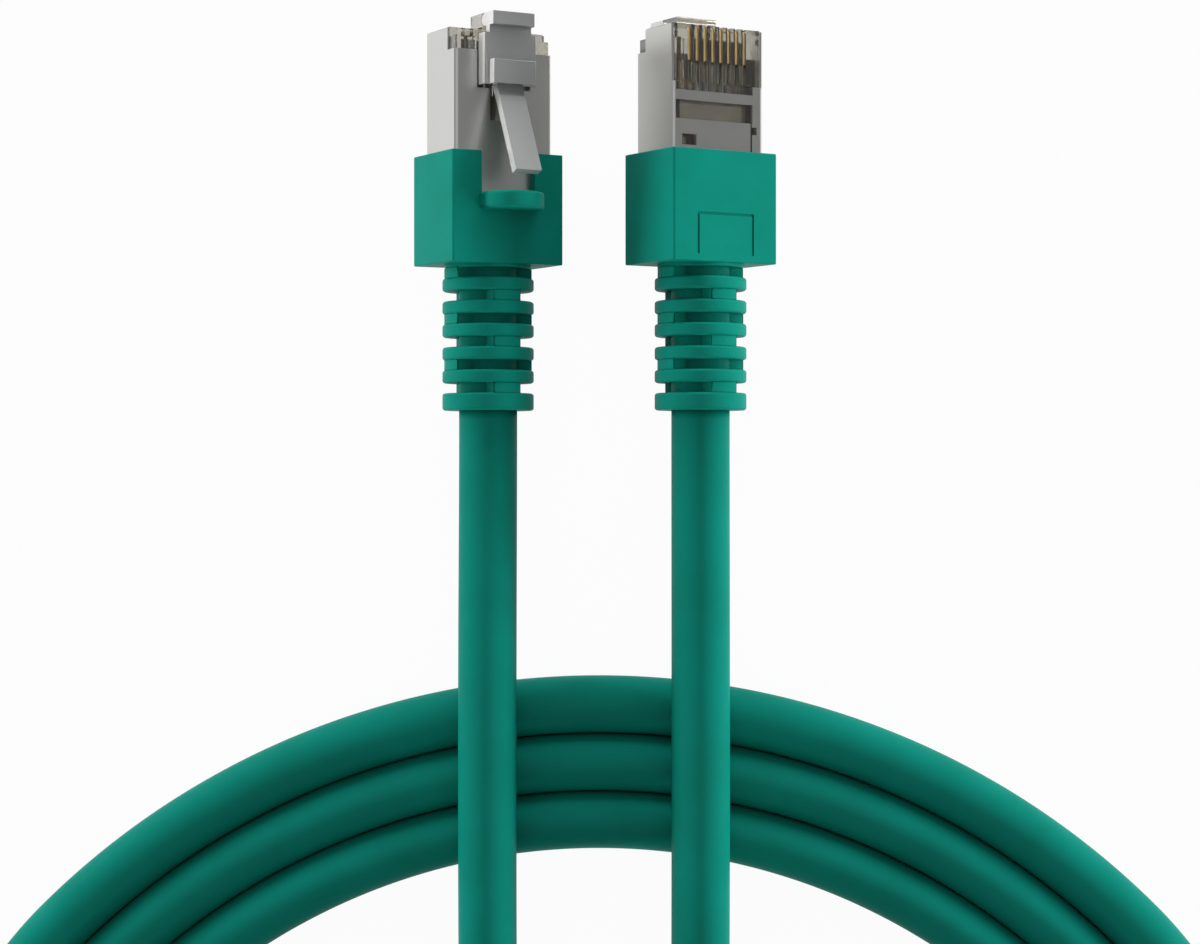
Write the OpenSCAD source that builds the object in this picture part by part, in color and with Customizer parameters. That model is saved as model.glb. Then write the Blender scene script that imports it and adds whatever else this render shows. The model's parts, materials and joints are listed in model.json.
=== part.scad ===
// Shielded Ethernet patch cable: two eight-contact modular plugs with moulded boots on one round cable,
// lying on a flat surface with the cable in a flat three-turn coil.
// Row frame: Z up from the surface, X to the right, Y towards the noses of the plugs; the origin is on the
// surface, midway between the two plugs.

/* [Cable] */
// Outer diameter of the cable jacket
cable_d = 6.3; // [5.6:0.1:7]
// Wall of the jacket
jacket_t = 0.6; // [0.4:0.05:0.8]
// Diameter of one insulated conductor
wire_d = 0.9; // [0.8:0.02:0.92]
// Thickness of the folded-back braid
braid_t = 0.25; // [0.15:0.01:0.35]

/* [Plug shield] */
// Width over the side walls
plug_w = 11.68; // [11.5:0.02:12.6]
// Length from the nose tip to the shield's back edge
plug_l = 21.46; // [21:0.02:24]
// Thickness of the sheet
sheet_t = 0.2; // [0.15:0.01:0.25]
// Radius inside the sheet's bends
bend_r = 0.2; // [0.1:0.05:0.35]
// Room inside over the jacket, on the latch side
latch_room = 0.35; // [0.3:0.05:0.8]
// Room inside under the jacket, on the contact side
contact_room = 0.05; // [0.05:0.05:0.4]
// Distance from the nose tip to the side walls' front edges
shield_front = 1.55; // [1.5:0.05:1.9]
// Distance from the nose tip to the latch-side sheet's front edge
latch_sheet_front = 3.95; // [3.6:0.05:4.4]
// Width of the flange beside the windows, along the seam
flange_w = 1.35; // [1.1:0.05:1.5]
// Length of the crimp ring round the braid
crimp_l = 3.2; // [2:0.1:3.4]

/* [Plug body] */
// Distance from the nose tip to the body's front face
nose_l = 1.45; // [1.3:0.05:1.5]
// Width of the nose block that carries the latch
nose_w = 5; // [4:0.1:5.6]
// Length of the body behind its front face
body_l = 15.5; // [15:0.1:15.7]
// Distance between neighbouring contacts
pitch = 1.016; // [1:0.002:1.06]
// Thickness of one contact blade
blade_t = 0.38; // [0.25:0.01:0.4]
// Length of one contact blade along the plug
blade_l = 3.6; // [3:0.1:4]
// Length of the comb's grooves behind the blades
groove_l = 2.2; // [1:0.1:2.4]
// Width of the gap across the comb's end
comb_gap = 0.2; // [0.15:0.05:0.3]
// Length of the load bar that holds the conductors in line
load_bar_l = 3.4; // [2:0.1:4]

/* [Latch] */
// Width of the latch's base and catch
latch_w = 6.2; // [5.6:0.1:6.4]
// Width of the raised catch
catch_w = 5.08; // [4.4:0.02:5.4]
// Height of the catch over the base
catch_h = 1.1; // [0.8:0.05:1.3]
// Distance from the nose tip to the catch's locking shoulder
catch_s = 7.75; // [7.4:0.05:8]
// Width of the lever
lever_w = 3.1; // [2.6:0.1:3.3]
// Thickness of the lever
lever_t = 0.9; // [0.7:0.05:1]
// Slope of the lever away from the plug
lever_angle = 25; // [22:0.5:26]
// Distance from the nose tip to the lever's tip
lever_s = 17.15; // [16:0.05:17.5]
// Radius of the latch's root
root_r = 0.7; // [0.6:0.05:0.72]
// Angle that the latch can be pressed through
press_angle = 9; // [6:0.5:10]

/* [Boot] */
// Wall beside the shield
boot_side = 0.82; // [0.6:0.01:1.2]
// Wall over the latch-side sheet
boot_latch = 1.1; // [0.9:0.05:1.6]
// Wall under the contact-side sheet
boot_contact = 1.45; // [1:0.05:1.8]
// Distance from the nose tip to the boot's front face
boot_front = 14.8; // [14:0.05:15.2]
// Length of the boot's block
boot_l = 11.9; // [11.6:0.05:13]
// Radius of the boot's long edges
boot_edge = 0.25; // [0.1:0.05:0.5]
// Width of the notch that clears the lever
notch_w = 6.4; // [5.6:0.1:7]
// Length of the notch
notch_l = 4.45; // [4:0.05:4.8]
// Half the width of the round latch guard
guard_r = 3.5; // [3.4:0.1:4]
// Height of the guard over the boot
guard_h = 4.2; // [3.8:0.1:4.3]
// Thickness of the guard
guard_t = 1.8; // [1.2:0.1:2]
// Width of the line mark on the contact face
mark_w = 7; // [5:0.5:9]

/* [Strain relief] */
// Wall of the rings round the cable
relief_t = 1.8; // [1.4:0.1:2.2]
// Length of one slot
slot_l = 1.1; // [0.8:0.05:1.5]
// Length of one ring
ring_l = 1.38; // [1:0.01:1.8]
// Length of the last ring
last_ring_l = 1.85; // [1.4:0.05:2.4]
// Length of the neck between the block and the first slot
neck_l = 0.35; // [0:0.05:0.8]
// Width of the bridges between rings
bridge_w = 3.2; // [2.8:0.1:4.2]

/* [Lie] */
// Width over both plugs as they lie
span = 39.2; // [38.6:0.1:42]
// Roll of plug a, whose latch is up
roll_a = 29.46; // [25:0.01:33]
// Roll of plug b, whose contacts are up
roll_b = 31.88; // [29:0.01:34]

/* [Coil] */
// Distance between neighbouring turns
turn_pitch = 6.35; // [6.35:0.05:7]
// Open gap left between neighbouring turns
turn_gap = 0.5; // [0.45:0.05:0.8]

/* [Hidden] */
$fn = 64;
fit = 0.03; // clearance between nested pieces
swing = 0.1; // clearance beside the latch
pin_fit = 0.05; // clearance round the latch's root
past = 1; // how far a cutter runs past a face
pins = 8;
slots = 6;

half_w = plug_w / 2;
latch_face = cable_d / 2 + latch_room + sheet_t;
contact_face = cable_d / 2 + contact_room + sheet_t;
body_half = half_w - sheet_t - fit;
body_top = latch_face - sheet_t - fit;
body_bottom = -(contact_face - sheet_t - fit);
body_end = nose_l + body_l;

boot_half = half_w + boot_side;
boot_top = latch_face + boot_latch;
boot_bottom = -(contact_face + boot_contact);
boot_end = boot_front + boot_l;
relief_l = neck_l + slots * slot_l + (slots - 1) * ring_l + last_ring_l;
relief_r = cable_d / 2 + relief_t;
relief_end = boot_end + relief_l;
ring_edge = 0.3;
bridge_inset = 0.15;
guard_w0 = boot_top + guard_h - guard_r; // height of the guard's centre over the cable axis
guard_edge = 0.35;
mark_t = 0.25;
mark_depth = 0.15;
mark_s0 = boot_front + 0.56 * boot_l;
mark_s1 = boot_end - 0.8;

// Latch: its root turns in a cradle on the nose block
hinge_s = 0.72;
hinge_w = latch_face + 0.3;
cradle_w = hinge_w - 0.25;
nose_bottom = 0.75;
nose_top = latch_face + 2.4;
latch_under = latch_face + 0.05;
base_s0 = 2.25;
base_s1 = 5.15;
base_top = latch_face + 1.54;
neck_under = hinge_w + 0.45;
lever_top0 = latch_face + 1.4; // outer face of the lever where it leaves the catch
lever_rise = (lever_s - catch_s) * tan(lever_angle);
lever_dz = lever_t / cos(lever_angle);
lever_under0 = lever_top0 - lever_dz;

// Where the pressed latch reaches: the recess below it, and how far back the lever needs a slot
sunk = 0.35;
recess_w0 = hinge_w - (catch_s - hinge_s) * sin(press_angle)
          - (hinge_w - latch_under) * cos(press_angle) - sunk;
recess_end = catch_s + 0.25;
pressed_w = hinge_w - (catch_s - hinge_s) * sin(press_angle) + (lever_under0 - hinge_w) * cos(press_angle);
slot_end = catch_s + (latch_face + sunk - pressed_w) / tan(lever_angle - press_angle);

// Front corner of the body over which the side walls are notched
corner_w = 1.9;
corner_s = 2.5;

// Contact side of the shield: an open front, then windows with a strap between, a port, and the seam
row_w = 0; // height of the row of conductors
blade_s0 = nose_l + 0.15;
blade_s1 = blade_s0 + blade_l;
blade_bottom = body_bottom + 0.25;
blade_shoulder = row_w - wire_d / 2 - fit; // the blade's teeth rise from here
blade_top = row_w + 0.3;
blade_edge = 0.5;
tooth_l = 0.6;
tooth_places = [0.45, 0.8]; // as shares of the blade's length
comb_end = blade_s1 + groove_l;
groove_w = blade_t + 2 * fit;
groove_depth = 0.8;
open_end = comb_end + comb_gap;
window_u = [flange_w - half_w, half_w - sheet_t - bend_r]; // from the flange to the bend on the other side
strap_s0 = open_end + 0.9;
strap_s1 = strap_s0 + 1.05;
window_end = strap_s1 + 2;
port_s0 = window_end + 1.6;
port_l = 1.15;
port_w = 1.83;
port_u = half_w - 1.2; // edge of the port nearest the side wall
seam_u = window_u[0] + 0.3;
seam_t = 0.2;
seam_hole = 0.8; // length and width of the hole that the seam runs into
seam_hole_s0 = window_end + 0.4;

// Inside the body
channel_r = wire_d / 2 + fit;
wire_s0 = blade_s0 + 1.05;
cavity_s0 = open_end + 0.9;
cavity_half = (pins - 1) / 2 * pitch + wire_d / 2 + 0.25;
cavity_w = 1.65;
wire_straight = 0.4; // straight stretch of a conductor where it enters the core
bar_s0 = cavity_s0 + fit;
bar_s1 = bar_s0 + load_bar_l;

// Core of the cable: foil round the conductors, braid folded back over the jacket, crimp ring on the braid
core_r = cable_d / 2 - jacket_t - fit;
core_s0 = body_end + 0.35;
jacket_s0 = core_s0 + 0.7;
braid_s0 = plug_l + 0.75;
braid_r0 = cable_d / 2 + fit;
braid_r1 = braid_r0 + braid_t;
crimp_r0 = braid_r1 + fit;
crimp_r1 = crimp_r0 + sheet_t;
crimp_s0 = plug_l + 0.9;
crimp_s1 = crimp_s0 + crimp_l;
strap_half = 2; // half the width of the strap that joins the crimp ring to the sheet
strap_root = plug_l - sheet_t;
strap_lap = 0.5;

// Where the plugs lie: a on a lower edge of its boot, b on its lever, both inside the span
reach_a = (boot_half - boot_edge) * cos(roll_a) + (-boot_bottom - boot_edge) * sin(roll_a) + boot_edge;
reach_b = (boot_half - boot_edge) * cos(roll_b) + (-boot_bottom - boot_edge) * sin(roll_b) + boot_edge;
axis_a = -span / 2 + reach_a;
axis_b = span / 2 - reach_b;
lie_a = (boot_half - boot_edge) * sin(roll_a) + (-boot_bottom - boot_edge) * cos(roll_a) + boot_edge;
lever_lie = (lever_top0 + lever_rise) * cos(roll_b) + lever_w / 2 * sin(roll_b);
guard_lie = guard_w0 * cos(roll_b) + guard_r;
lie_b = max(lever_lie + 0.05, guard_lie);
nose_y = relief_end / 2;

// ---- Shapes along a plug: u across, s back from the nose tip, w out of the latch side ----

module block(u, s, w) {
    translate([u[0], -s[1], w[0]]) cube([u[1] - u[0], s[1] - s[0], w[1] - w[0]]);
}

// Cylinder along the plug, from s[0] to s[1]
module rod(r, s, u = 0, w = 0) {
    translate([u, -s[0], w]) rotate([90, 0, 0]) cylinder(r = r, h = s[1] - s[0]);
}

module pipe(r0, r1, s) {
    difference() {
        rod(r1, s);
        rod(r0, [s[0] - past, s[1] + past]);
    }
}

// Flat shape drawn in s and w, given a width across the plug
module across(width, u = 0) {
    translate([u, 0, 0]) rotate([90, 0, -90]) linear_extrude(width, center = true) children();
}

// Rectangle from [x0, y0] to [x1, y1] with round corners
module round_rect(x, y, r) {
    translate([x[0] + r, y[0]]) square([x[1] - x[0] - 2 * r, y[1] - y[0]]);
    translate([x[0], y[0] + r]) square([x[1] - x[0], y[1] - y[0] - 2 * r]);
    for (cx = [x[0] + r, x[1] - r], cy = [y[0] + r, y[1] - r]) translate([cx, cy]) circle(r);
}

// Block along the plug whose long edges are round
module round_bar(u, s, w, r) {
    translate([0, -s[0], 0]) rotate([90, 0, 0]) linear_extrude(s[1] - s[0]) round_rect(u, w, r);
}

// Disc along the plug with rounded rims
module round_disc(r, s, edge, u = 0, w = 0) {
    translate([u, -s[0], w]) rotate([90, 0, 0]) rotate_extrude() {
        square([r - edge, s[1] - s[0]]);
        translate([0, edge]) square([r, s[1] - s[0] - 2 * edge]);
        for (z = [edge, s[1] - s[0] - edge]) translate([r - edge, z]) circle(edge);
    }
}

function pin_u(i) = (pins - 1) / 2 * pitch - (i - 1) * pitch;

// Place of each conductor in the cable's core: 1, 2 on one side, 7, 8 on the other, 4, 5 up, 3, 6 down
core_step = wire_d + 0.07;
core_u = [2.06, 1.06, 0.52, 0.52, -0.52, -0.52, -1.06, -2.06];
core_w = [0, 0, -1.08, 1.08, 1.08, -1.08, 0, 0];

module in_plug_a() {
    translate([axis_a, nose_y, lie_a]) rotate([0, roll_a, 0]) children();
}

module in_plug_b() {
    translate([axis_b, nose_y, lie_b]) rotate([0, 180 + roll_b, 0]) children();
}

// ---- Sub-parts of a plug ----

// Moulded boot: a block round the shield, the latch guard, and the slotted strain relief
module boot() {
    color("#00796a") difference() {
        union() {
            round_bar([-boot_half, boot_half], [boot_front, boot_end], [boot_bottom, boot_top], boot_edge);
            round_disc(guard_r, [boot_front + notch_l, boot_front + notch_l + guard_t], guard_edge,
                       w = guard_w0);
            block([-guard_r, guard_r], [boot_front + notch_l + guard_edge,
                                        boot_front + notch_l + guard_t - guard_edge], [0, guard_w0]);
            strain_relief();
        }
        round_bar([-half_w - fit, half_w + fit], [boot_front - past, plug_l + 2 * fit],
                  [-contact_face - fit, latch_face + fit], bend_r + sheet_t);
        block([-notch_w / 2, notch_w / 2], [boot_front - past, boot_front + notch_l],
              [0, boot_top + past]);
        block([-strap_half - fit, strap_half + fit], [strap_root - fit, crimp_s0 + past],
              [-crimp_r1 - fit, 0]);
        rod(crimp_r1 + fit, [plug_l, crimp_s1 + 2 * fit]);
        rod(cable_d / 2 + fit, [plug_l, relief_end + past]);
        contact_face_mark();
    }
}

// A neck, then rings joined by pairs of bridges, which turn a quarter from slot to slot
module strain_relief() {
    rod(relief_r - 2 * bridge_inset, [boot_end - fit, boot_end + neck_l + fit]);
    for (i = [0:slots - 1]) {
        s0 = boot_end + neck_l + i * (slot_l + ring_l);
        length = i < slots - 1 ? ring_l : last_ring_l;
        round_disc(relief_r, [s0 + slot_l, s0 + slot_l + length], ring_edge);
        intersection() {
            rod(relief_r - bridge_inset, [s0 - fit, s0 + slot_l + fit]);
            rotate([0, i % 2 * 90, 0])
                block([-relief_r, relief_r], [s0 - past, s0 + slot_l + past],
                      [-bridge_w / 2, bridge_w / 2]);
        }
    }
}

// Shallow line on the contact face: two sides and a front, open towards the cable
module contact_face_mark() {
    w = [boot_bottom - past, boot_bottom + mark_depth];
    for (side = [-1, 1])
        block([side * mark_w / 2 - mark_t / 2, side * mark_w / 2 + mark_t / 2], [mark_s0, mark_s1], w);
    block([-mark_w / 2, mark_w / 2], [mark_s0, mark_s0 + mark_t], w);
}

// Folded sheet with an open contact side at the front, windows, a cut-out under the latch, and the crimp
module shield() {
    color("#8c8c8c") {
        difference() {
            round_bar([-half_w, half_w], [shield_front, plug_l], [-contact_face, latch_face],
                      bend_r + sheet_t);
            round_bar([-half_w + sheet_t, half_w - sheet_t], [shield_front - past, plug_l + past],
                      [-contact_face + sheet_t, latch_face - sheet_t], bend_r);
            block([-half_w - past, half_w + past], [shield_front - past, latch_sheet_front],
                  [corner_w, latch_face + past]);
            contact_side_cut([-half_w - past, half_w + past], [shield_front - past, open_end]);
            contact_side_cut(window_u, [open_end - fit, strap_s0]);
            contact_side_cut(window_u, [strap_s1, window_end]);
            contact_side_cut([port_u - port_w, port_u], [port_s0, port_s0 + port_l]);
            contact_side_cut([seam_u - seam_hole, seam_u], [seam_hole_s0, seam_hole_s0 + seam_hole]);
            contact_side_cut([seam_u - seam_t, seam_u], [window_end - fit, plug_l + past]);
            block([-latch_w / 2 - swing, latch_w / 2 + swing], [shield_front, recess_end],
                  [latch_face - sheet_t - past, latch_face + past]);
            block([-lever_w / 2 - swing, lever_w / 2 + swing], [recess_end - fit, slot_end],
                  [latch_face - sheet_t - past, latch_face + past]);
        }
        difference() {
            union() {
                rod(crimp_r1, [crimp_s0, crimp_s1]);
                block([-strap_half, strap_half], [strap_root, crimp_s0 + strap_lap],
                      [-crimp_r1, -contact_face + sheet_t]);
            }
            rod(crimp_r0, [crimp_s0 - past, crimp_s1 + past]);
            rod(cable_d / 2 + fit, [plug_l - past, crimp_s0 + past]);
        }
    }
}

module contact_side_cut(u, s) {
    block(u, s, [-contact_face - past, -contact_face + sheet_t + fit]);
}

// Clear body: slots for the blades, a gap behind them, channels and a cavity for the conductors, and the
// latch's cradle
module plug_body() {
    color("#d8dcda", 0.5) difference() {
        union() {
            round_bar([-body_half, body_half], [nose_l, body_end], [body_bottom, body_top], bend_r - fit);
            block([-nose_w / 2, nose_w / 2], [0, nose_l + fit], [nose_bottom, cradle_w]);
        }
        for (side = [-1, 1]) mirror([side > 0 ? 1 : 0, 0, 0])
            block([nose_w / 2, half_w], [0, corner_s], [corner_w, latch_face]);
        block([-nose_w / 2 - fit, nose_w / 2 + fit], [nose_l, corner_s], [corner_w, latch_face]);
        translate([0, -hinge_s, hinge_w]) rotate([0, 90, 0])
            cylinder(r = root_r + pin_fit, h = nose_w + 2 * past, center = true);
        block([-latch_w / 2 - swing, latch_w / 2 + swing], [nose_l + fit, recess_end],
              [recess_w0, latch_face]);
        block([-lever_w / 2 - swing, lever_w / 2 + swing], [recess_end - fit, slot_end],
              [recess_w0 + fit, latch_face]);
        for (i = [1:pins]) {
            blade_slot(i, fit);
            rod(channel_r, [wire_s0 - 2 * fit, cavity_s0 + past], pin_u(i), row_w);
            block([pin_u(i) - groove_w / 2, pin_u(i) + groove_w / 2], [blade_s1, comb_end],
                  [body_bottom - past, body_bottom + groove_depth]);
        }
        block(window_u, [comb_end - fit, open_end], [body_bottom - past, body_bottom + groove_depth]);
        block([-cavity_half, cavity_half], [cavity_s0, body_end + past], [-cavity_w, cavity_w]);
    }
}

// Space that a blade fills, open to the front and the contact side
module blade_slot(i, gap) {
    block([pin_u(i) - blade_t / 2 - gap, pin_u(i) + blade_t / 2 + gap],
          [nose_l - past, blade_s1 + gap], [body_bottom - past, blade_top + gap]);
}

// Gold-plated blade with a round front corner and two teeth that pierce the conductor
module contact(i) {
    color("#c8953f") across(blade_t, pin_u(i)) {
        translate([blade_s0 + blade_edge, blade_bottom])
            square([blade_l - blade_edge, blade_shoulder - blade_bottom]);
        translate([blade_s0, blade_bottom + blade_edge])
            square([blade_l, blade_shoulder - blade_bottom - blade_edge]);
        translate([blade_s0 + blade_edge, blade_bottom + blade_edge]) circle(blade_edge);
        for (place = tooth_places)
            translate([blade_s0 + place * blade_l, blade_shoulder - fit])
                polygon([[-tooth_l / 2, 0], [tooth_l / 2, 0], [0, blade_top - blade_shoulder + fit]]);
    }
}

// Sprung latch: round root, nose, base, raised catch and sloping lever
module latch() {
    color("#d8dcda", 0.5) {
        translate([0, -hinge_s, hinge_w]) rotate([0, 90, 0])
            cylinder(r = root_r, h = nose_w, center = true);
        block([-nose_w / 2, nose_w / 2], [0, nose_l], [hinge_w, nose_top]);
        block([-nose_w / 2, nose_w / 2], [nose_l - fit, base_s0 + fit], [neck_under, base_top]);
        block([-latch_w / 2, latch_w / 2], [base_s0, catch_s], [latch_under, base_top]);
        block([-catch_w / 2, catch_w / 2], [base_s1, catch_s], [base_top - fit, base_top + catch_h]);
        across(lever_w) polygon([
            [catch_s - fit, lever_under0], [catch_s, lever_under0],
            [lever_s + lever_t * sin(lever_angle), lever_top0 + lever_rise - lever_t * cos(lever_angle)],
            [lever_s, lever_top0 + lever_rise],
            [catch_s, lever_top0], [catch_s - fit, lever_top0]]);
    }
}

// Comb that keeps the conductors in line behind the contacts
module load_bar() {
    color("#e8e8e4") difference() {
        block([-cavity_half + fit, cavity_half - fit], [bar_s0, bar_s1],
              [-cavity_w + fit, cavity_w - fit]);
        for (i = [1:pins]) rod(channel_r, [bar_s0 - past, bar_s1 + past], pin_u(i), row_w);
    }
}

// One insulated conductor, straight through the load bar and then in to its place in the core
module wire(i) {
    colours = ["#f0d8c0", "#e07820", "#cfe6cf", "#2858b0", "#c8d4ec", "#2f9a4a", "#e0d2c2", "#7a4a28"];
    bend_s = bar_s1 + wire_straight / 2;
    end_s = core_s0 - fit;
    du = core_step * core_u[i - 1] - pin_u(i);
    dw = core_step * core_w[i - 1];
    centres = concat(
        [[pin_u(i), -wire_s0, row_w]],
        [for (k = [0:6]) let (t = k / 6)
            [pin_u(i) + du * t, -bend_s - (end_s - wire_straight - bend_s) * t,
             row_w + dw * ease(2 * t)]],
        [[pin_u(i) + du, -end_s, row_w + dw]]);
    ways = [for (k = [0:len(centres) - 1])
        unit(centres[min(k + 1, len(centres) - 1)] - centres[max(k - 1, 0)])];
    section = [for (j = [0:7]) wire_d / 2 * [cos(45 * j), sin(45 * j)]];
    color(colours[i - 1]) difference() {
        tube(centres, concat([[0, -1, 0]], [for (k = [1:len(ways) - 2]) ways[k]], [[0, -1, 0]]), section);
        for (place = tooth_places) {
            s = blade_s0 + place * blade_l;
            block([pin_u(i) - blade_t / 2 - fit / 2, pin_u(i) + blade_t / 2 + fit / 2],
                  [s - tooth_l / 2 - fit, s + tooth_l / 2 + fit], [row_w - wire_d, blade_top + fit]);
        }
    }
}

// End of the jacket, from inside the shield to the strain relief's end
module jacket_end() {
    color("#00796a") pipe(cable_d / 2 - jacket_t, cable_d / 2, [jacket_s0, relief_end]);
}

// Foil round the pairs, as far as the body
module foil_core() {
    color("#c0c4c8") rod(core_r, [core_s0, relief_end]);
}

// Braid folded back over the jacket, under the crimp ring
module braid() {
    color("#a8a49c") pipe(braid_r0, braid_r1, [braid_s0, crimp_s1]);
}

// ---- Cable ----

function unit(v) = v / norm(v);
function ease(t) = t <= 0 ? 0 : t >= 1 ? 1 : t * t * (3 - 2 * t);

// Tube through rings: centres, directions of travel, and a cross-section given as [side, up] offsets
module tube(centres, ways, section) {
    n = len(section);
    m = len(centres);
    points = [for (i = [0:m - 1])
        let (side = unit(cross(ways[i], [0, 0, 1])), up = cross(side, ways[i]))
        for (q = section) centres[i] + q[0] * side + q[1] * up];
    polyhedron(points, concat(
        [for (i = [0:m - 2], j = [0:n - 1]) [i * n + j, (i + 1) * n + j, (i + 1) * n + (j + 1) % n]],
        [for (i = [0:m - 2], j = [0:n - 1]) [i * n + j, (i + 1) * n + (j + 1) % n, i * n + (j + 1) % n]],
        [for (j = [1:n - 2]) [0, j, j + 1]],
        [for (j = [1:n - 2]) [(m - 1) * n, (m - 1) * n + j + 1, (m - 1) * n + j]]));
}

// Free stretches: a smooth curve that starts and ends on the first and last point of its route
function padded(route) = concat([2 * route[0] - route[1]], route,
                                [2 * route[len(route) - 1] - route[len(route) - 2]]);
function smooth_centres(p) = [for (i = [1:len(p) - 2]) (p[i - 1] + 4 * p[i] + p[i + 1]) / 6];
function smooth_ways(p) = [for (i = [1:len(p) - 2]) unit(p[i + 1] - p[i - 1])];

cable_z = cable_d / 2; // height of the axis of cable that lies on the surface
round_section = [for (j = [0:11]) cable_d / 2 * [cos(30 * j), sin(30 * j)]];

// Coil: a flattened ring of four arcs, each turn one pitch inside the last. The side arcs touch the top and
// the bottom arc smoothly, and along the bottom arc the cable goes a turn outwards.
coil_x = 0.5;
top_y = -137.16;
top_r = 83.8;
side_r = 42.3;
bottom_r = 130;
top_angle = 45; // where the top arc meets the side arcs
side_x = (top_r - side_r) * cos(top_angle);
side_y = top_y + (top_r - side_r) * sin(top_angle);
bottom_y = side_y + sqrt(pow(bottom_r - side_r, 2) - pow(side_x, 2));
bottom_angle = 360 - atan2(bottom_y - side_y, side_x); // where the bottom arc meets the side arcs
climb_from = 540 - bottom_angle;
climb_over = bottom_angle - climb_from;
coil_start = -70;
coil_end = 865;
start_inset = 0.4; // the inner end starts this share of a pitch further in
start_over = 110;
ring_step = 7.5; // angle from ring to ring

function in_turn(a) = a - 360 * floor(a / 360);
function arc_of(a) =
    a < top_angle || a >= bottom_angle ? [coil_x + side_x, side_y, side_r]
    : a < 180 - top_angle ? [coil_x, top_y, top_r]
    : a < climb_from ? [coil_x - side_x, side_y, side_r]
    : [coil_x, bottom_y, bottom_r];
// Pitches inside the outermost turn, after the cable has gone round to angle a
function inset(a) = 2 + start_inset * (1 - ease((a - coil_start) / start_over))
    - ease((a - climb_from) / climb_over) - ease((a - climb_from - 360) / climb_over);
function coil_point(a) =
    let (arc = arc_of(in_turn(a)), r = arc[2] - turn_pitch * inset(a))
    [arc[0] + r * cos(a), arc[1] + r * sin(a), cable_z];
function coil_way(a) = unit(coil_point(a + 1) - coil_point(a - 1));

function square_way(a) = [-sin(a), cos(a), 0];
coil_in = coil_point(coil_start) - cable_d * square_way(coil_start);
coil_out = coil_point(coil_end) + cable_d * square_way(coil_end);
round_angles = [for (k = [floor(coil_start / ring_step) + 1 : ceil(coil_end / ring_step) - 1]) k * ring_step];
coil_angles = concat([coil_start], round_angles, [coil_end]);
coil_centres = concat([coil_in], [for (a = coil_angles) coil_point(a)], [coil_out]);
coil_ways = concat([square_way(coil_start), square_way(coil_start)],
                   [for (a = round_angles) coil_way(a)],
                   [square_way(coil_end), square_way(coil_end)]);

// Six-sided section, flat below, narrow enough to leave the gap between turns where the sides are longest
turn_half = (turn_pitch * cos(ring_step / 2) - turn_gap) / 2;
flat_half = 0.6 * turn_half;
coil_section = [[turn_half, 0], [flat_half, cable_z], [-flat_half, cable_z],
                [-turn_half, 0], [-flat_half, -cable_z], [flat_half, -cable_z]];

// Least gap of the coil to itself: nearest side edges of rings and of the middles between rings
function middles(p) = [for (i = [0:len(p) - 2]) (p[i] + p[i + 1]) / 2];
coil_checks = concat(coil_centres, middles(coil_centres));
rings = len(coil_centres);
function apart(i, j) = abs(i % rings - j % rings) > 180 / ring_step;
least_gap = min([for (i = [0:len(coil_checks) - 1], j = [0:len(coil_checks) - 1])
                 if (i < j && apart(i, j)) norm(coil_checks[i] - coil_checks[j])]) - 2 * turn_half;
echo(least_gap_of_the_coil_to_itself = least_gap);

// Routes start straight out of a plug's relief and end straight into the coil, over one diameter each
relief_y = nose_y - relief_end;
before_in = coil_in - cable_d * square_way(coil_start);
after_out = coil_out + cable_d * square_way(coil_end);

// Route of the stretch from plug a: over the coil's turns, down to the surface and round into the coil
route_a = concat(
    [[axis_a, relief_y, lie_a], [axis_a, relief_y - cable_d, lie_a]],
    [for (yz = [[-39, 8.6], [-49, 9.6], [-61, 9.6], [-73, 9.6], [-83.5, 8.3], [-94, 5.5], [-104, 3.4]])
        [axis_a, yz[0], yz[1]]],
    [[-11.9, -112.8, cable_z], [-9.8, -121.7, cable_z], [-4.9, -129.6, cable_z], [2.2, -135.5, cable_z],
     [10.8, -138.9, cable_z], [19.6, -139.6, cable_z], before_in, coil_in]);

// Route of the stretch from plug b: over the turns, sagging inside the ring, over stretch a and the lower
// turns, and down on the left into the coil's free end
route_b = concat(
    [[axis_b, relief_y, lie_b], [axis_b, relief_y - cable_d, lie_b]],
    [for (yz = [[-38, 9.3], [-48, 9.6], [-59, 9.6], [-70.5, 9.6], [-83, 8.6], [-95.5, 6.6], [-108.5, 6]])
        [axis_b, yz[0], yz[1]]],
    [[10.5, -120, 7.5], [6.5, -132, 9.6], [-1, -141, 9.7], [-11.5, -147.5, 9.6], [-23, -151, 9.6],
     [-35.5, -151.7, 9.6], [-47.5, -149, 9.6], [-58, -142.5, 9.6], [-66, -133.5, 9], [-71.2, -123.2, 6.5],
     [-73.8, -112, 4], [-73.5, -101.4, cable_z], after_out, coil_out]);

module cable_end_a() {
    color("#00796a") tube(smooth_centres(padded(route_a)), smooth_ways(padded(route_a)), round_section);
}

module cable_end_b() {
    color("#00796a") tube(smooth_centres(padded(route_b)), smooth_ways(padded(route_b)), round_section);
}

module cable_coil() {
    color("#00796a") tube(coil_centres, coil_ways, coil_section);
}

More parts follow.
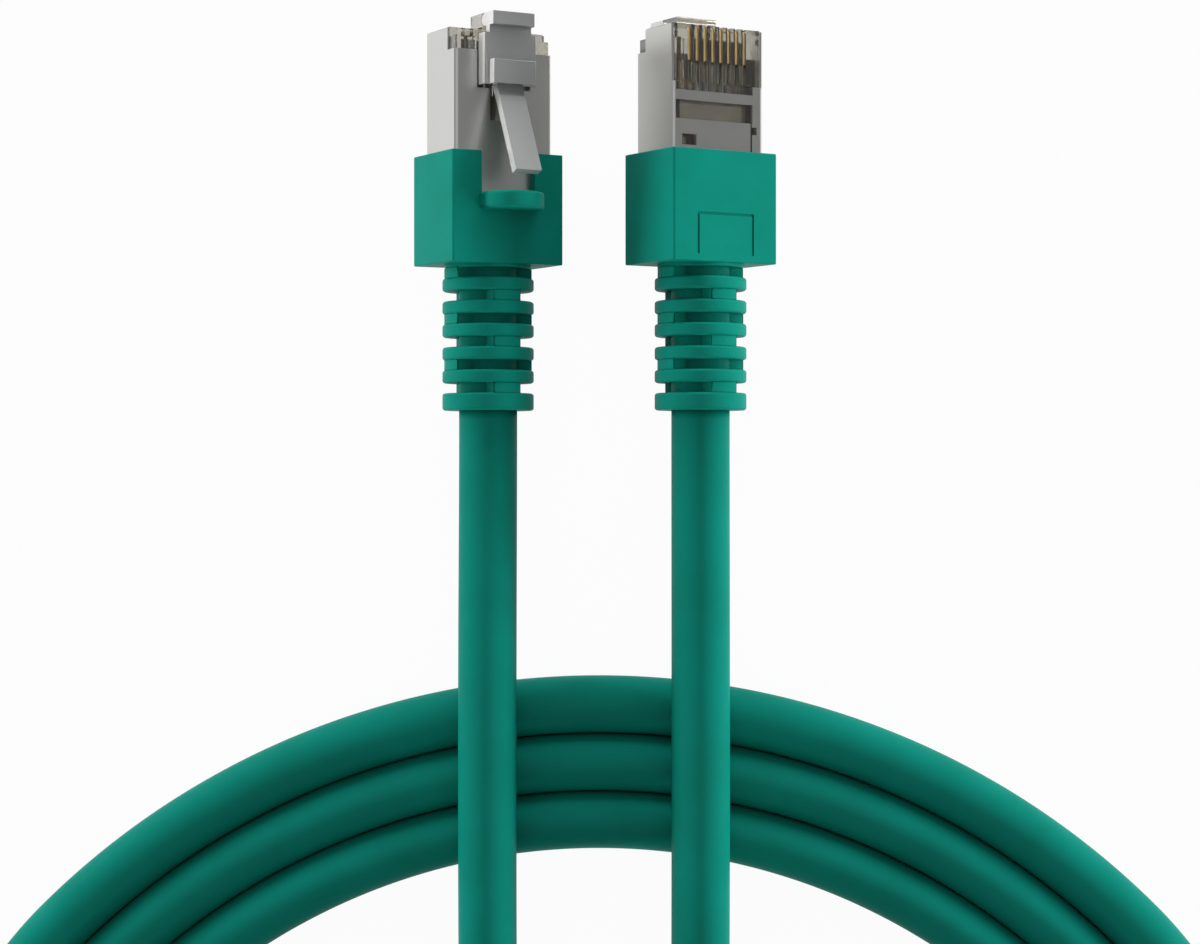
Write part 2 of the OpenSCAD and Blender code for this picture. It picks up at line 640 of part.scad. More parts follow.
in_plug_a() boot();  // boot_a
in_plug_b() boot();  // boot_b
in_plug_a() plug_body();  // plug_body_a
in_plug_b() plug_body();  // plug_body_b
in_plug_a() latch();  // latch_a
in_plug_b() latch();  // latch_b
in_plug_a() shield();  // shield_a
in_plug_b() shield();  // shield_b
in_plug_a() load_bar();  // load_bar_a
in_plug_b() load_bar();  // load_bar_b
in_plug_a() jacket_end();  // jacket_end_a
in_plug_b() jacket_end();  // jacket_end_b
in_plug_a() foil_core();  // foil_core_a
in_plug_b() foil_core();  // foil_core_b
in_plug_a() braid();  // braid_a
in_plug_b() braid();  // braid_b
for (i = [1:pins]) {
    in_plug_a() contact(i);
    in_plug_b() contact(i);
    in_plug_a() wire(i);
    in_plug_b() wire(i);
}
cable_end_a();
cable_coil();
cable_end_b();
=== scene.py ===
"""Shielded Ethernet patch cable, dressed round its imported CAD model.

Two modular plugs with moulded boots lie side by side on one green cable, which runs over a flat coil of
about two and a half turns, into it, and back. Everything is in metres, in the model's own frame.
"""

import json
import math

import bmesh
import bpy
import numpy as np
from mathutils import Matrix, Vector


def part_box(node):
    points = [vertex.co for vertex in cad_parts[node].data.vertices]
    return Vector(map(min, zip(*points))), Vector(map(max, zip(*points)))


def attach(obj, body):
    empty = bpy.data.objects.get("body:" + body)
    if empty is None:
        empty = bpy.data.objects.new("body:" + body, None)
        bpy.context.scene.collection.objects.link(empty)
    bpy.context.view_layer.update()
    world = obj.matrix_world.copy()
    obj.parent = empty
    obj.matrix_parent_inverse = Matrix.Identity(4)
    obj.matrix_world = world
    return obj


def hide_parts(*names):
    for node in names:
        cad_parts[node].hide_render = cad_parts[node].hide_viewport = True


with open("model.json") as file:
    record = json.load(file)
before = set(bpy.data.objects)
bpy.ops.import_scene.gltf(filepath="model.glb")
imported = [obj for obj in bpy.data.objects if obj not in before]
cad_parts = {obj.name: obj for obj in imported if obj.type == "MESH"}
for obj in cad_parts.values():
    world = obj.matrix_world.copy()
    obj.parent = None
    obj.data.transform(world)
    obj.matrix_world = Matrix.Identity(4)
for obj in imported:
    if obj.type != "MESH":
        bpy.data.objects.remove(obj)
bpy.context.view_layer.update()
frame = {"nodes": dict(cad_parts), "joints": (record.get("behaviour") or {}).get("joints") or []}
MM = 0.001

# ---- Camera ----
# It stands straight above the plugs and looks down, with their noses towards the top of its view. An
# unturned camera already looks down, so it has a place and no rotation.
CAMERA_AT = (0.63 * MM, -27.85 * MM, 300.7 * MM)
LENS, SENSOR_WIDTH = 81.1, 36  # both in millimetres, as Blender takes them
NEAREST, FARTHEST = 0.01, 20
camera_data = bpy.data.cameras.new("camera")
camera_data.lens = LENS
camera_data.sensor_width = SENSOR_WIDTH
camera_data.clip_start, camera_data.clip_end = NEAREST, FARTHEST
camera = bpy.data.objects.new("camera", camera_data)
camera.location = CAMERA_AT
bpy.context.scene.collection.objects.link(camera)
bpy.context.scene.camera = camera

# ---- Cable ----
# A round cable of four screened pairs. The jacket is PVC, extruded over the braid in one run, so it is
# satin with fine draw lines. Both ends go into the boots' strain reliefs.
CABLE_D = 6.3 * MM
CABLE_Z = CABLE_D / 2  # height of the axis where the cable lies on the surface
CABLE_RING = 1.0 * MM  # distance between the mesh's rings
CABLE_SIDES = 40


def cable_exit(node):
    """Middle of the end face of a plug's jacket, where the free cable starts."""
    low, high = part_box(node)
    return np.array([(low.x + high.x) / 2, low.y, (low.z + high.z) / 2])


# Coil: a flattened ring of four arcs, wound from its inner end outwards. The side arcs touch the top and
# the bottom arc smoothly, and along the bottom arc the cable moves out by one pitch. Angles are in degrees.
TURN_PITCH = 6.35 * MM
COIL_START, COIL_END = -70, 865
COIL_X, TOP_Y = 0.5 * MM, -137.16 * MM
TOP_R, SIDE_R, BOTTOM_R = 83.8 * MM, 42.3 * MM, 130 * MM
TOP_ANGLE = 45  # where the top arc meets the side arcs
SIDE_X = (TOP_R - SIDE_R) * math.cos(math.radians(TOP_ANGLE))
SIDE_Y = TOP_Y + (TOP_R - SIDE_R) * math.sin(math.radians(TOP_ANGLE))
BOTTOM_Y = SIDE_Y + math.sqrt((BOTTOM_R - SIDE_R) ** 2 - SIDE_X ** 2)
BOTTOM_ANGLE = 360 - math.degrees(math.atan2(BOTTOM_Y - SIDE_Y, SIDE_X))
CLIMB_FROM = 540 - BOTTOM_ANGLE
CLIMB_OVER = BOTTOM_ANGLE - CLIMB_FROM
START_INSET, START_OVER = 0.4, 110  # the inner end starts further in by this share of a pitch
TOP_ARC = (COIL_X, TOP_Y, TOP_R)
RIGHT_ARC = (COIL_X + SIDE_X, SIDE_Y, SIDE_R)
LEFT_ARC = (COIL_X - SIDE_X, SIDE_Y, SIDE_R)
BOTTOM_ARC = (COIL_X, BOTTOM_Y, BOTTOM_R)


def ease(t):
    """Smooth step: 3 t squared less 2 t cubed, held at 0 and 1 outside."""
    t = np.clip(t, 0, 1)
    return t * t * (3 - 2 * t)


def coil_points(angles):
    """Points of the coil at these angles: centre of the arc, plus its radius less the inset, at the angle."""
    turn = angles % 360
    arcs = np.where(((turn < TOP_ANGLE) | (turn >= BOTTOM_ANGLE))[:, None], RIGHT_ARC,
                    np.where((turn < 180 - TOP_ANGLE)[:, None], TOP_ARC,
                             np.where((turn < CLIMB_FROM)[:, None], LEFT_ARC, BOTTOM_ARC)))
    inset = (2 + START_INSET * (1 - ease((angles - COIL_START) / START_OVER))
             - ease((angles - CLIMB_FROM) / CLIMB_OVER) - ease((angles - CLIMB_FROM - 360) / CLIMB_OVER))
    radius = arcs[:, 2] - TURN_PITCH * inset
    round_by = np.radians(angles)
    return np.stack([arcs[:, 0] + radius * np.cos(round_by), arcs[:, 1] + radius * np.sin(round_by),
                     np.full(len(angles), CABLE_Z)], axis=1)


def square_way(angle):
    """Direction of travel square to the radius at this angle: (-sin, cos)."""
    return np.array([-math.sin(math.radians(angle)), math.cos(math.radians(angle)), 0])


def smooth_route(points, per_span=12):
    """Uniform cubic B-spline over padded control points: each span blends four by the cubic basis."""
    p = np.array(points)
    p = np.vstack([2 * p[0] - p[1], p, 2 * p[-1] - p[-2]])
    t = np.linspace(0, 1, per_span, endpoint=False)[:, None]
    basis = [(1 - t) ** 3, 3 * t ** 3 - 6 * t ** 2 + 4, -3 * t ** 3 + 3 * t ** 2 + 3 * t + 1, t ** 3]
    spans = [sum(b * p[i + k] for k, b in enumerate(basis)) / 6 for i in range(len(p) - 3)]
    return np.vstack(spans + [(p[-3] + 4 * p[-2] + p[-1])[None] / 6])


exit_a, exit_b = cable_exit("jacket_end_a"), cable_exit("jacket_end_b")
coil_start, coil_end = coil_points(np.array([COIL_START, COIL_END], float))
coil_in = coil_start - CABLE_D * square_way(COIL_START)
coil_out = coil_end + CABLE_D * square_way(COIL_END)


def straight_out(exit_point):
    """First two points of a stretch: the exit, and one diameter straight out of it."""
    return [exit_point, exit_point - [0, CABLE_D, 0]]


def in_metres(points):
    """These points in millimetres as arrays in metres."""
    return [np.array(p) * MM for p in points]


# Stretch from plug a: over the coil's turns, down to the surface and round into the coil
route_a = (
    straight_out(exit_a)
    + [np.array([exit_a[0], y * MM, z * MM]) for y, z in (
        (-39, 8.6), (-49, 9.6), (-61, 9.6), (-73, 9.6), (-83.5, 8.3), (-94, 5.5), (-104, 3.4))]
    + in_metres([(-11.9, -112.8, 3.15), (-9.8, -121.7, 3.15), (-4.9, -129.6, 3.15), (2.2, -135.5, 3.15),
                 (10.8, -138.9, 3.15), (19.6, -139.6, 3.15)])
    + [coil_in - CABLE_D * square_way(COIL_START), coil_in])

# Stretch from plug b: over the turns, sagging inside the ring, over the other stretch and the lower turns
route_b = (
    straight_out(exit_b)
    + [np.array([exit_b[0], y * MM, z * MM]) for y, z in (
        (-38, 9.3), (-48, 9.6), (-59, 9.6), (-70.5, 9.6), (-83, 8.6), (-95.5, 6.6), (-108.5, 6))]
    + in_metres([(10.5, -120, 7.5), (6.5, -132, 9.6), (-1, -141, 9.7), (-11.5, -147.5, 9.6),
                 (-23, -151, 9.6), (-35.5, -151.7, 9.6), (-47.5, -149, 9.6), (-58, -142.5, 9.6),
                 (-66, -133.5, 9), (-71.2, -123.2, 6.5), (-73.8, -112, 4), (-73.5, -101.4, 3.15)])
    + [coil_out + CABLE_D * square_way(COIL_END), coil_out])


def even_steps(points, step):
    """The same line with its points this far apart along it."""
    along = np.concatenate([[0], np.cumsum(np.linalg.norm(np.diff(points, axis=0), axis=1))])
    at = np.linspace(0, along[-1], int(round(along[-1] / step)) + 1)
    return np.stack([np.interp(at, along, points[:, k]) for k in range(3)], axis=1), at


coil_line = coil_points(np.arange(COIL_START, COIL_END + 1, 1.0))
cable_line, cable_along = even_steps(
    np.vstack([smooth_route(route_a), coil_line, smooth_route(route_b)[::-1]]), CABLE_RING)


def tube(name, line, along, radius, sides):
    """Closed tube along a line: at each point a ring of radius r, at side * r cos t + up * r sin t.

    Its UV map runs along the tube and round it, both in circumferences.
    """
    way = np.gradient(line, axis=0)
    way /= np.linalg.norm(way, axis=1)[:, None]
    side = np.cross(way, [0, 0, 1])
    side /= np.linalg.norm(side, axis=1)[:, None]
    up = np.cross(side, way)
    t = np.linspace(0, 2 * math.pi, sides, endpoint=False)
    ring = line[:, None] + radius * (side[:, None] * np.cos(t)[None, :, None]
                                     + up[:, None] * np.sin(t)[None, :, None])
    rows = len(line)
    i, j = np.meshgrid(np.arange(rows - 1), np.arange(sides), indexing="ij")
    right = (j + 1) % sides
    quads = np.stack([i * sides + j, (i + 1) * sides + j,
                      (i + 1) * sides + right, i * sides + right], axis=-1)
    caps = [list(range(sides)), list(range((rows - 1) * sides, rows * sides))[::-1]]
    mesh = bpy.data.meshes.new(name)
    mesh.from_pydata(ring.reshape(-1, 3), [], quads.reshape(-1, 4).tolist() + caps)
    u = along[i] / (2 * math.pi * radius)
    u_next = along[i + 1] / (2 * math.pi * radius)
    uv = np.stack([np.stack([u, j / sides], -1), np.stack([u_next, j / sides], -1),
                   np.stack([u_next, (j + 1) / sides], -1), np.stack([u, (j + 1) / sides], -1)], axis=-2)
    layer = mesh.uv_layers.new(name="along")
    layer.data.foreach_set("uv", np.concatenate([uv.reshape(-1), np.zeros(4 * sides)]))
    mesh.polygons.foreach_set("use_smooth", [True] * (len(mesh.polygons) - 2) + [False] * 2)
    piece = bpy.data.objects.new(name, mesh)
    bpy.context.scene.collection.objects.link(piece)
    return piece


cable = tube("cable", cable_line, cable_along, CABLE_D / 2, CABLE_SIDES)


def linear(code, alpha=1.0):
    """sRGB hex colour to Blender's linear RGBA."""
    parts = [int(code[k:k + 2], 16) / 255 for k in (0, 2, 4)]
    return tuple(c / 12.92 if c <= 0.04045 else ((c + 0.055) / 1.055) ** 2.4 for c in parts) + (alpha,)


def add(material, kind, inputs=None, **settings):
    """Adds one node. A value in inputs is a number, a colour, or another node's socket to link from."""
    tree = material.node_tree
    made = tree.nodes.new(kind)
    for name, value in settings.items():
        setattr(made, name, value)
    for name, value in (inputs or {}).items():
        if isinstance(value, bpy.types.NodeSocket):
            tree.links.new(value, made.inputs[name])
        else:
            made.inputs[name].default_value = value
    return made


def new_material(name, **constants):
    """A material with one Principled shader, whose constants are set on its own sockets."""
    material = bpy.data.materials.new(name)
    material.use_nodes = True
    shader = material.node_tree.nodes["Principled BSDF"]
    for socket, value in constants.items():
        shader.inputs[socket.replace("_", " ")].default_value = value
    return material, shader


# Extruded PVC: even green with a faint cloudiness from the pigment, and fine lines drawn along it by the die
JACKET_GREEN, JACKET_DEEP = "0a7e70", "0a7667"
JACKET_CLOUD, JACKET_GRAIN = 9 * MM, 0.35 * MM
CLOUD_FROM, CLOUD_TO = 0.3, 0.7  # part of the noise over which the one green goes to the other
DRAW_LINES, LINE_STRETCH = 90, 0.25  # lines round the cable, and how often they change along it
GRAIN_DEPTH = 0.02 * MM
PVC_ROUGHNESS, PVC_GLOSS = 0.5, 0.05  # the plasticiser leaves the surface matt
jacket_pvc, shader = new_material("extruded_pvc", Roughness=PVC_ROUGHNESS, Specular_IOR_Level=PVC_GLOSS)
place = add(jacket_pvc, "ShaderNodeTexCoord")
cloud = add(jacket_pvc, "ShaderNodeTexNoise",
            {"Vector": place.outputs["Object"], "Scale": 1 / JACKET_CLOUD, "Detail": 3, "Roughness": 0.6})
tint = add(jacket_pvc, "ShaderNodeValToRGB", {"Fac": cloud.outputs["Fac"]})
deep, light = tint.color_ramp.elements
deep.color, light.color = linear(JACKET_DEEP), linear(JACKET_GREEN)
deep.position, light.position = CLOUD_FROM, CLOUD_TO
stretch = add(jacket_pvc, "ShaderNodeMapping",
              {"Vector": place.outputs["UV"], "Scale": (LINE_STRETCH, DRAW_LINES, 1)})
lines = add(jacket_pvc, "ShaderNodeTexNoise",
            {"Vector": stretch.outputs["Vector"], "Scale": 1.0, "Detail": 2})
grain = add(jacket_pvc, "ShaderNodeTexNoise",
            {"Vector": place.outputs["Object"], "Scale": 1 / JACKET_GRAIN, "Detail": 2})
relief = add(jacket_pvc, "ShaderNodeMath",
             {0: lines.outputs["Fac"], 1: grain.outputs["Fac"]}, operation="ADD")
bump = add(jacket_pvc, "ShaderNodeBump",
           {"Height": relief.outputs[0], "Strength": 0.12, "Distance": GRAIN_DEPTH})
tree = jacket_pvc.node_tree
tree.links.new(tint.outputs["Color"], shader.inputs["Base Color"])
tree.links.new(bump.outputs["Normal"], shader.inputs["Normal"])
cable.data.materials.append(jacket_pvc)

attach(cable, "cable")
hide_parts("cable_end_a", "cable_coil", "cable_end_b")

# ---- Boots ----
# Each boot is soft PVC, moulded round the shield and the jacket in one shot: a block with a notch for the
# lever, a round guard behind it and a strain relief of six slotted rings. Its edges are slightly round.
BOOT_EDGE = 0.12 * MM

# Moulded PVC: the same green, a little lighter, with the fine even grain of the mould
BOOT_GREEN, BOOT_DEEP = "0c8273", "0c7a6a"
BOOT_CLOUD, BOOT_GRAIN = 7 * MM, 0.18 * MM
moulded_pvc, shader = new_material("moulded_pvc", Roughness=PVC_ROUGHNESS, Specular_IOR_Level=PVC_GLOSS)
place = add(moulded_pvc, "ShaderNodeTexCoord")
cloud = add(moulded_pvc, "ShaderNodeTexNoise",
            {"Vector": place.outputs["Object"], "Scale": 1 / BOOT_CLOUD, "Detail": 4, "Roughness": 0.6})
tint = add(moulded_pvc, "ShaderNodeValToRGB", {"Fac": cloud.outputs["Fac"]})
deep, light = tint.color_ramp.elements
deep.color, light.color = linear(BOOT_DEEP), linear(BOOT_GREEN)
deep.position, light.position = CLOUD_FROM, CLOUD_TO
grain = add(moulded_pvc, "ShaderNodeTexNoise",
            {"Vector": place.outputs["Object"], "Scale": 1 / BOOT_GRAIN, "Detail": 2})
bump = add(moulded_pvc, "ShaderNodeBump",
           {"Height": grain.outputs["Fac"], "Strength": 0.25, "Distance": GRAIN_DEPTH})
moulded_pvc.node_tree.links.new(tint.outputs["Color"], shader.inputs["Base Color"])
moulded_pvc.node_tree.links.new(bump.outputs["Normal"], shader.inputs["Normal"])


MERGE = 0.001 * MM  # corners closer than this are one
FLAT_WITHIN = math.radians(0.5)  # triangles that turn less than this are one flat face
CORNER_FROM = math.radians(40)  # an edge that turns more than this is a corner, not part of a round
SMOOTH_UP_TO = math.radians(35)


def eased_copy(node, name, edge):
    """Copy of a CAD node's mesh, joined up, with its outer corners rounded by a bevel of this width.

    A corner that runs into an inner one stays sharp, because its bevel would cross the next face's outline.
    """
    mesh = frame["nodes"][node].data.copy()
    mesh.name = name
    shape = bmesh.new()
    shape.from_mesh(mesh)
    bmesh.ops.remove_doubles(shape, verts=shape.verts, dist=MERGE)
    bmesh.ops.dissolve_limit(shape, angle_limit=FLAT_WITHIN, verts=shape.verts, edges=shape.edges)
    weight = shape.edges.layers.float.new("bevel_weight_edge")
    corners = [e for e in shape.edges if len(e.link_faces) == 2 and e.calc_face_angle(0) > CORNER_FROM]
    inner = {v for e in corners if not e.is_convex for v in e.verts}
    for e in corners:
        if e.is_convex and not inner.intersection(e.verts):
            e[weight] = 1.0
    shape.to_mesh(mesh)
    shape.free()
    if "custom_normal" in mesh.attributes:  # normals stored for the loose triangles don't fit merged faces
        mesh.attributes.remove(mesh.attributes["custom_normal"])
    mesh.polygons.foreach_set("use_smooth", [True] * len(mesh.polygons))
    mesh.set_sharp_from_angle(angle=SMOOTH_UP_TO)
    piece = bpy.data.objects.new(name, mesh)
    bpy.context.scene.collection.objects.link(piece)
    rounding = piece.modifiers.new("eased edges", "BEVEL")
    rounding.limit_method = "WEIGHT"
    rounding.width = edge
    rounding.segments = 2
    rounding.use_clamp_overlap = False
    rounding.harden_normals = True
    return piece


for plug in "ab":
    boot = eased_copy(f"boot_{plug}", f"moulded_boot_{plug}", BOOT_EDGE)
    boot.data.materials.clear()
    boot.data.materials.append(moulded_pvc)
    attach(boot, "cable")
    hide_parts(f"boot_{plug}")

# ---- Shields ----
# Each shield is thin steel sheet, satin nickel plated, folded to a sleeve with its seam on the contact
# side and crimped on the cable. The rolled sheet stays slightly wavy, and the plating's gloss is uneven.
NICKEL = "d2d2cf"
WAVE, WAVE_DEPTH, SMEAR = 4 * MM, 0.05 * MM, 2.5 * MM
NICKEL_GLOSSIEST, NICKEL_DULLEST = 0.28, 0.36  # roughness
nickel_plate, shader = new_material("nickel_plated_steel", Metallic=1.0)
place = add(nickel_plate, "ShaderNodeTexCoord")
wave = add(nickel_plate, "ShaderNodeTexNoise",
           {"Vector": place.outputs["Object"], "Scale": 1 / WAVE, "Detail": 1})
bump = add(nickel_plate, "ShaderNodeBump",
           {"Height": wave.outputs["Fac"], "Strength": 0.12, "Distance": WAVE_DEPTH})
smear = add(nickel_plate, "ShaderNodeTexNoise",
            {"Vector": place.outputs["Object"], "Scale": 1 / SMEAR, "Detail": 5, "Roughness": 0.7})
rough = add(nickel_plate, "ShaderNodeMapRange",
            {"Value": smear.outputs["Fac"], "To Min": NICKEL_GLOSSIEST, "To Max": NICKEL_DULLEST})
shader.inputs["Base Color"].default_value = linear(NICKEL)
nickel_plate.node_tree.links.new(rough.outputs["Result"], shader.inputs["Roughness"])
nickel_plate.node_tree.links.new(bump.outputs["Normal"], shader.inputs["Normal"])


def finish_node(node, material):
    """Gives a CAD node this material on all its slots."""
    for place_of_material in frame["nodes"][node].material_slots:
        place_of_material.material = material


for plug in "ab":
    finish_node(f"shield_{plug}", nickel_plate)

# ---- Plug bodies and latches ----
# Both are moulded from clear polycarbonate. The thin-walled body lets most light through. The latch is
# smokier, with slightly round edges. Its side faces get a much lighter tone: a painted highlight.
LATCH_EDGE = 0.09 * MM
FLOW_MARKS, FLOW_DEPTH = 2 * MM, 0.03 * MM
SQUARE_TO = 0.9  # a face whose normal has this share along an axis faces that way


def clear_plastic(name, tone, through):
    """Clear polycarbonate of this tone that lets this share of the light through, with faint flow marks."""
    material, shader = new_material(name, Roughness=0.05, IOR=1.585, Transmission_Weight=through,
                                    Specular_IOR_Level=1.0, Coat_Weight=1.0, Coat_IOR=1.8)
    shader.inputs["Base Color"].default_value = linear(tone)
    place = add(material, "ShaderNodeTexCoord")
    flow = add(material, "ShaderNodeTexNoise",
               {"Vector": place.outputs["Object"], "Scale": 1 / FLOW_MARKS, "Detail": 2})
    bump = add(material, "ShaderNodeBump",
               {"Height": flow.outputs["Fac"], "Strength": 0.1, "Distance": FLOW_DEPTH})
    material.node_tree.links.new(bump.outputs["Normal"], shader.inputs["Normal"])
    return material


body_pc = clear_plastic("clear_polycarbonate", "b6b2a6", 0.97)
latch_pc = clear_plastic("smoked_polycarbonate", "9c9e9d", 0.3)
# Much lighter tone for the latch's side faces: a painted highlight for the light they catch
painted_highlight_pc = clear_plastic("polycarbonate_painted_highlight", "f0f0ee", 0.3)
# A latch's hinge runs across its plug, so the faces square to the hinge's axis are the latch's sides
across_plug = {joint["child"]: np.array(joint["axis"]) for joint in frame["joints"]}
for plug in "ab":
    finish_node(f"plug_body_{plug}", body_pc)
    latch = eased_copy(f"latch_{plug}", f"moulded_latch_{plug}", LATCH_EDGE)
    latch.data.materials.clear()
    latch.data.materials.append(latch_pc)
    latch.data.materials.append(painted_highlight_pc)
    normals = np.empty(3 * len(latch.data.polygons))
    latch.data.polygons.foreach_get("normal", normals)
    on_side = np.abs(normals.reshape(-1, 3) @ across_plug[f"latch_{plug}"]) > SQUARE_TO
    # The side faces take the second, lighter material, which paints a highlight on them
    latch.data.polygons.foreach_set("material_index", on_side.astype(int))
    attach(latch, f"latch_{plug}")
    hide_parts(f"latch_{plug}")

# ---- Contacts ----
# Phosphor bronze blades, stamped, then plated with nickel and a thin matt gold, and pressed into the comb.
# The matt gold scatters about half of its light, so it looks pale from every side.
GOLD = "fbdca0"
GOLD_SMEAR = 0.3 * MM
GOLD_GLOSSIEST, GOLD_DULLEST = 0.45, 0.6  # roughness
gold_plate, shader = new_material("gold_plate", Metallic=0.5)
shader.inputs["Base Color"].default_value = linear(GOLD)
place = add(gold_plate, "ShaderNodeTexCoord")
smear = add(gold_plate, "ShaderNodeTexNoise",
            {"Vector": place.outputs["Object"], "Scale": 1 / GOLD_SMEAR, "Detail": 3})
rough = add(gold_plate, "ShaderNodeMapRange",
            {"Value": smear.outputs["Fac"], "To Min": GOLD_GLOSSIEST, "To Max": GOLD_DULLEST})
gold_plate.node_tree.links.new(rough.outputs["Result"], shader.inputs["Roughness"])
for plug in "ab":
    for pin in range(1, 9):
        finish_node(f"contact_{plug}{pin}", gold_plate)

# ---- Inside the plugs ----
# The load bar is white moulded polycarbonate, the conductors' insulation is extruded polyethylene, and the
# screen is aluminium foil under a braid of fine tinned wires. Clear plastic and the shield hold them.
WIRE_COLOURS = (("f0d8c0", "e07820"), ("e07820", "d06c18"), ("cfe6cf", "2f9a4a"), ("2858b0", "224c9c"),
                ("c8d4ec", "2858b0"), ("2f9a4a", "278440"), ("e0d2c2", "7a4a28"), ("7a4a28", "6c4022"))
TINT_SPREAD = 0.15  # how far either side of its middle the one colour goes to the other


def clouded(name, light, deep, grain, depth, share=0.5, **constants):
    """Material with two close colours in a noise of this grain, which also gives it a bump of this depth."""
    material, shader = new_material(name, **constants)
    place = add(material, "ShaderNodeTexCoord")
    noise = add(material, "ShaderNodeTexNoise",
                {"Vector": place.outputs["Object"], "Scale": 1 / grain, "Detail": 3})
    tint = add(material, "ShaderNodeValToRGB", {"Fac": noise.outputs["Fac"]})
    low_stop, high_stop = tint.color_ramp.elements
    low_stop.position, low_stop.color = share - TINT_SPREAD, linear(deep)
    high_stop.position, high_stop.color = share + TINT_SPREAD, linear(light)
    bump = add(material, "ShaderNodeBump",
               {"Height": noise.outputs["Fac"], "Strength": 0.3, "Distance": depth})
    material.node_tree.links.new(tint.outputs["Color"], shader.inputs["Base Color"])
    material.node_tree.links.new(bump.outputs["Normal"], shader.inputs["Normal"])
    return material


white_pc = clouded("white_polycarbonate", "dcdcd8", "d2d2cc", 1.5 * MM, 0.01 * MM, Roughness=0.35)
foil = clouded("aluminium_foil", "c8ccd0", "b4b8bc", 0.6 * MM, 0.08 * MM, Metallic=1.0, Roughness=0.25)
braid = clouded("tinned_copper_braid", "b8b2a6", "8c877c", 0.25 * MM, 0.08 * MM, Metallic=1.0, Roughness=0.4)
for plug in "ab":
    finish_node(f"load_bar_{plug}", white_pc)
    finish_node(f"jacket_end_{plug}", moulded_pvc)
    finish_node(f"foil_core_{plug}", foil)
    finish_node(f"braid_{plug}", braid)
for pin, (light, deep) in enumerate(WIRE_COLOURS, start=1):
    insulation = clouded(f"insulation_{pin}", light, deep, 0.8 * MM, 0.01 * MM, share=0.4, Roughness=0.4)
    for plug in "ab":
        finish_node(f"wire_{plug}{pin}", insulation)

# ---- Floor, lamps and world ----
# A white paper sweep, lit by three soft lamps: low on the left and the right, and beyond the plugs' noses.
# Where nothing is close to it, it glows, so that it shows as plain white with a soft shadow at the cable.
FLOOR_HALF = 2.0
SHADOW_REACH = 8 * MM
SHADED, OPEN = 0.08, 0.35  # open share of the sky where the glow starts, and where it is full
GLOW_MOST = 0.95
floor_mesh = bpy.data.meshes.new("floor")
floor_mesh.from_pydata([(-FLOOR_HALF, -FLOOR_HALF, 0), (FLOOR_HALF, -FLOOR_HALF, 0),
                        (FLOOR_HALF, FLOOR_HALF, 0), (-FLOOR_HALF, FLOOR_HALF, 0)], [], [(0, 1, 2, 3)])
floor = bpy.data.objects.new("floor", floor_mesh)
bpy.context.scene.collection.objects.link(floor)
white_sweep, shader = new_material("white_sweep", Roughness=1.0)
shader.inputs["Base Color"].default_value = linear("f7f7f7")
shader.inputs["Specular IOR Level"].default_value = 0.0
ray = add(white_sweep, "ShaderNodeLightPath")
seen = add(white_sweep, "ShaderNodeMath",
           {0: ray.outputs["Is Camera Ray"], 1: ray.outputs["Is Glossy Ray"]}, operation="MAXIMUM")
seen = add(white_sweep, "ShaderNodeMath",
           {0: seen.outputs[0], 1: ray.outputs["Is Transmission Ray"]}, operation="MAXIMUM")
open_floor = add(white_sweep, "ShaderNodeAmbientOcclusion", {"Distance": SHADOW_REACH})
glow_share = add(white_sweep, "ShaderNodeMapRange",
                 {"Value": open_floor.outputs["AO"], "From Min": SHADED, "From Max": OPEN,
                  "To Max": GLOW_MOST})
share = add(white_sweep, "ShaderNodeMath",
            {0: seen.outputs[0], 1: glow_share.outputs["Result"]}, operation="MULTIPLY")
glow = add(white_sweep, "ShaderNodeEmission", {"Strength": 1.0})
blend = add(white_sweep, "ShaderNodeMixShader",
            {0: share.outputs[0], 1: shader.outputs[0], 2: glow.outputs[0]})
surface = white_sweep.node_tree.nodes["Material Output"].inputs["Surface"]
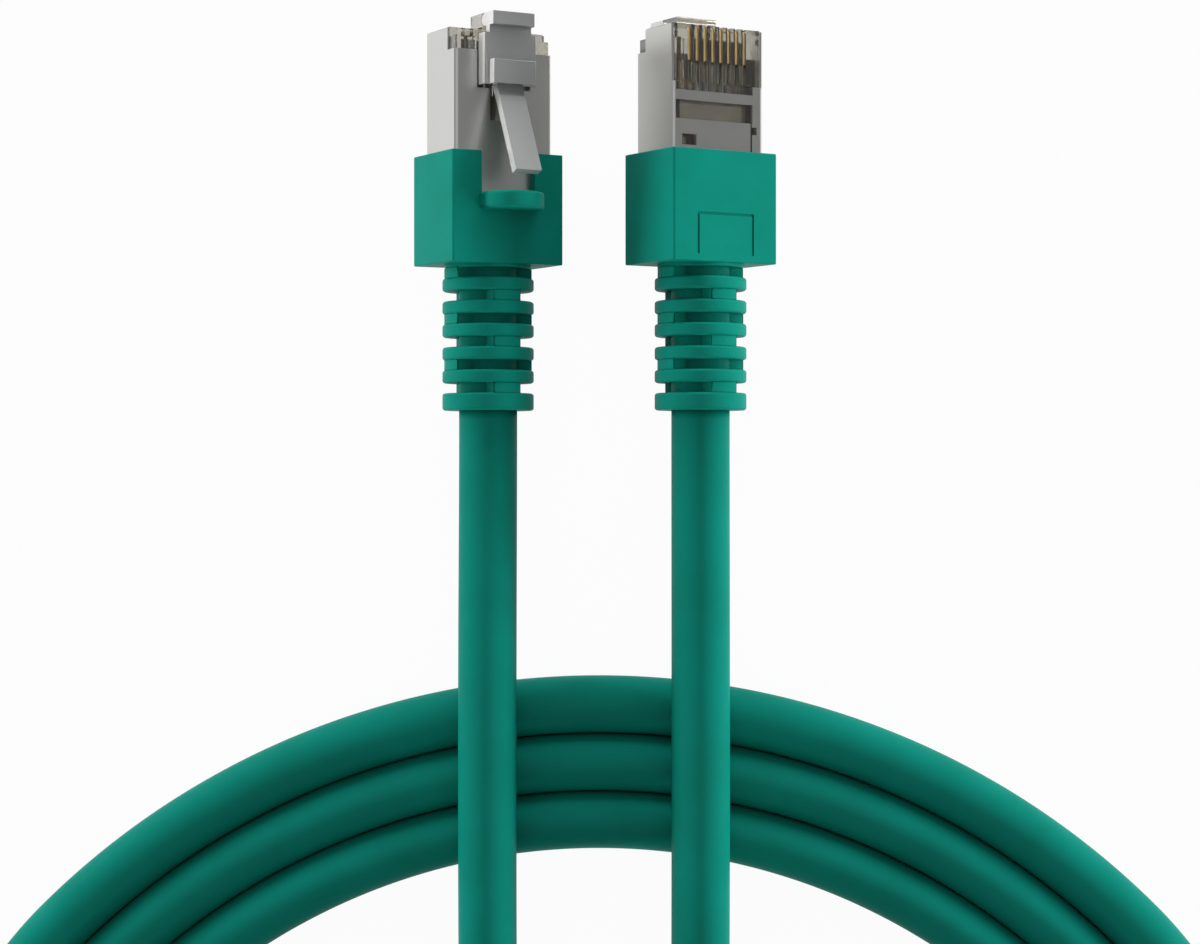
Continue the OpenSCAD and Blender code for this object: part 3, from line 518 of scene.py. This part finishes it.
white_sweep.node_tree.links.new(blend.outputs[0], surface)
floor_mesh.materials.append(white_sweep)


def lamp(name, at, aim, size, power):
    """Rectangular area lamp at one point, facing another."""
    data = bpy.data.lights.new(name, "AREA")
    data.shape = "RECTANGLE"
    data.size, data.size_y = size
    data.energy = power
    made = bpy.data.objects.new(name, data)
    made.location = at
    made.rotation_euler = (Vector(aim) - Vector(at)).to_track_quat("-Z", "Y").to_euler()
    made.visible_camera = made.visible_glossy = False  # the metal mirrors the sweep and the sky, no lamps
    bpy.context.scene.collection.objects.link(made)


AIM = (0, -0.06, 0.0)  # the middle of the part
lamp("left softbox", (-0.6, -0.06, 0.05), AIM, (1.4, 0.09), 4.5)
lamp("right softbox", (0.6, -0.06, 0.05), AIM, (1.4, 0.09), 6.9)
lamp("far softbox", (0, 0.6, 0.14), AIM, (0.9, 0.24), 3.4)

# The sky is grey in bands of height, which the metal mirrors. Seen directly or through plastic, it is white.
SKY = ((0.06, 1.0), (0.24, 0.28), (0.42, 0.11), (0.56, 0.25), (0.92, 0.6))  # height of the way, brightness
world = bpy.data.worlds.new("studio")
bpy.context.scene.world = world
world.use_nodes = True
tree = world.node_tree
background = tree.nodes["Background"]
ray = add(world, "ShaderNodeLightPath")
way = add(world, "ShaderNodeTexCoord")
axes = add(world, "ShaderNodeSeparateXYZ", {0: way.outputs["Generated"]})
fall = add(world, "ShaderNodeValToRGB", {"Fac": axes.outputs["Z"]})
while len(fall.color_ramp.elements) < len(SKY):
    fall.color_ramp.elements.new(1.0)
for stop, (height, value) in zip(fall.color_ramp.elements, SKY):
    stop.position, stop.color = height, (value, value, value, 1)
seen = add(world, "ShaderNodeMath",
           {0: ray.outputs["Is Camera Ray"], 1: ray.outputs["Is Transmission Ray"]}, operation="MAXIMUM")
shown = add(world, "ShaderNodeMixRGB", {0: seen.outputs[0], 1: fall.outputs["Color"], 2: (1, 1, 1, 1)})
tree.links.new(shown.outputs["Color"], background.inputs["Color"])

bpy.context.scene.view_settings.view_transform = "Standard"
